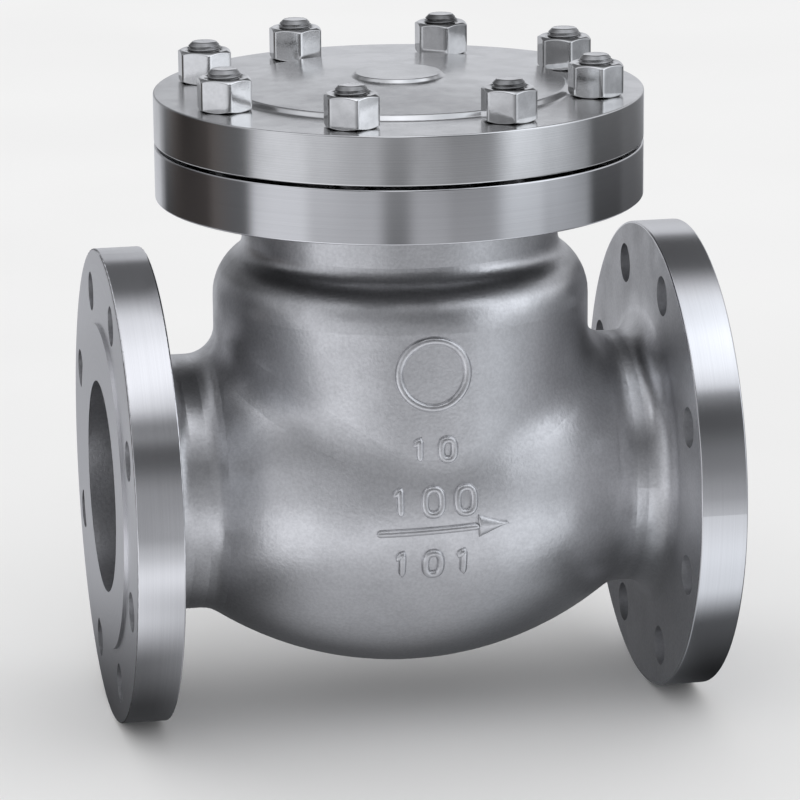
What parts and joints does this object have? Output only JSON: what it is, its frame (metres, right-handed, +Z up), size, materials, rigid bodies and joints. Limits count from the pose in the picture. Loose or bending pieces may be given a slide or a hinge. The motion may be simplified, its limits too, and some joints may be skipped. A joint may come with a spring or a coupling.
{
  "type": "swing check valve",
  "caption": "Flanged swing check valve with a bolted round cover; the hinged disc swings open with the flow and shuts against backflow.",
  "frame": {"origin": "centre of the inlet bore at its raised face", "axes": "+X along the pipe, with the flow; +Z up through the cover; +Y across the pipe"},
  "size_m": [0.292, 0.234, 0.3221],
  "materials": {
    "cast_stainless": "bead-blasted stainless casting, machined rims and faces",
    "machined_stainless": "turned stainless with fine tool lines",
    "bright_fasteners": "bright stainless studs, nuts and bolts",
    "seat_facing": "lapped hard-faced stainless",
    "gasket_graphite": "dark graphite-faced sheet",
    "bush_bronze": "turned bronze"
  },
  "bodies": {
    "valve_body": {"valve_body": "cast_stainless", "cover": "machined_stainless", "cover_gasket": "gasket_graphite", "cover_studs": "bright_fasteners", "cover_nuts": "bright_fasteners", "seat_ring": "seat_facing", "hinge_bracket": "cast_stainless", "bracket_bolts": "bright_fasteners", "bracket_lock_washers": "bright_fasteners", "hinge_pin": "machined_stainless", "hinge_pin_washer": "machined_stainless", "hinge_pin_cotter": "bright_fasteners"},
    "arm": {"hinge_arm": "cast_stainless", "arm_bush_left": "bush_bronze", "arm_bush_right": "bush_bronze"},
    "disc": {"disc": "machined_stainless", "disc_washer": "machined_stainless", "disc_nut": "bright_fasteners", "disc_cotter": "bright_fasteners"}
  },
  "joints": [
    {"name": "arm swing", "type": "hinge", "parent": "valve_body", "child": "arm", "pos_m": [0.12113, 0, 0.07705], "axis": [0, -1, 0], "range_deg": [0, 65]},
    {"name": "disc spin", "type": "hinge", "parent": "arm", "child": "disc", "pos_m": [0.11515, 0, 0], "axis": [0.9945, 0, 0.1045], "continuous": true}
  ]
}
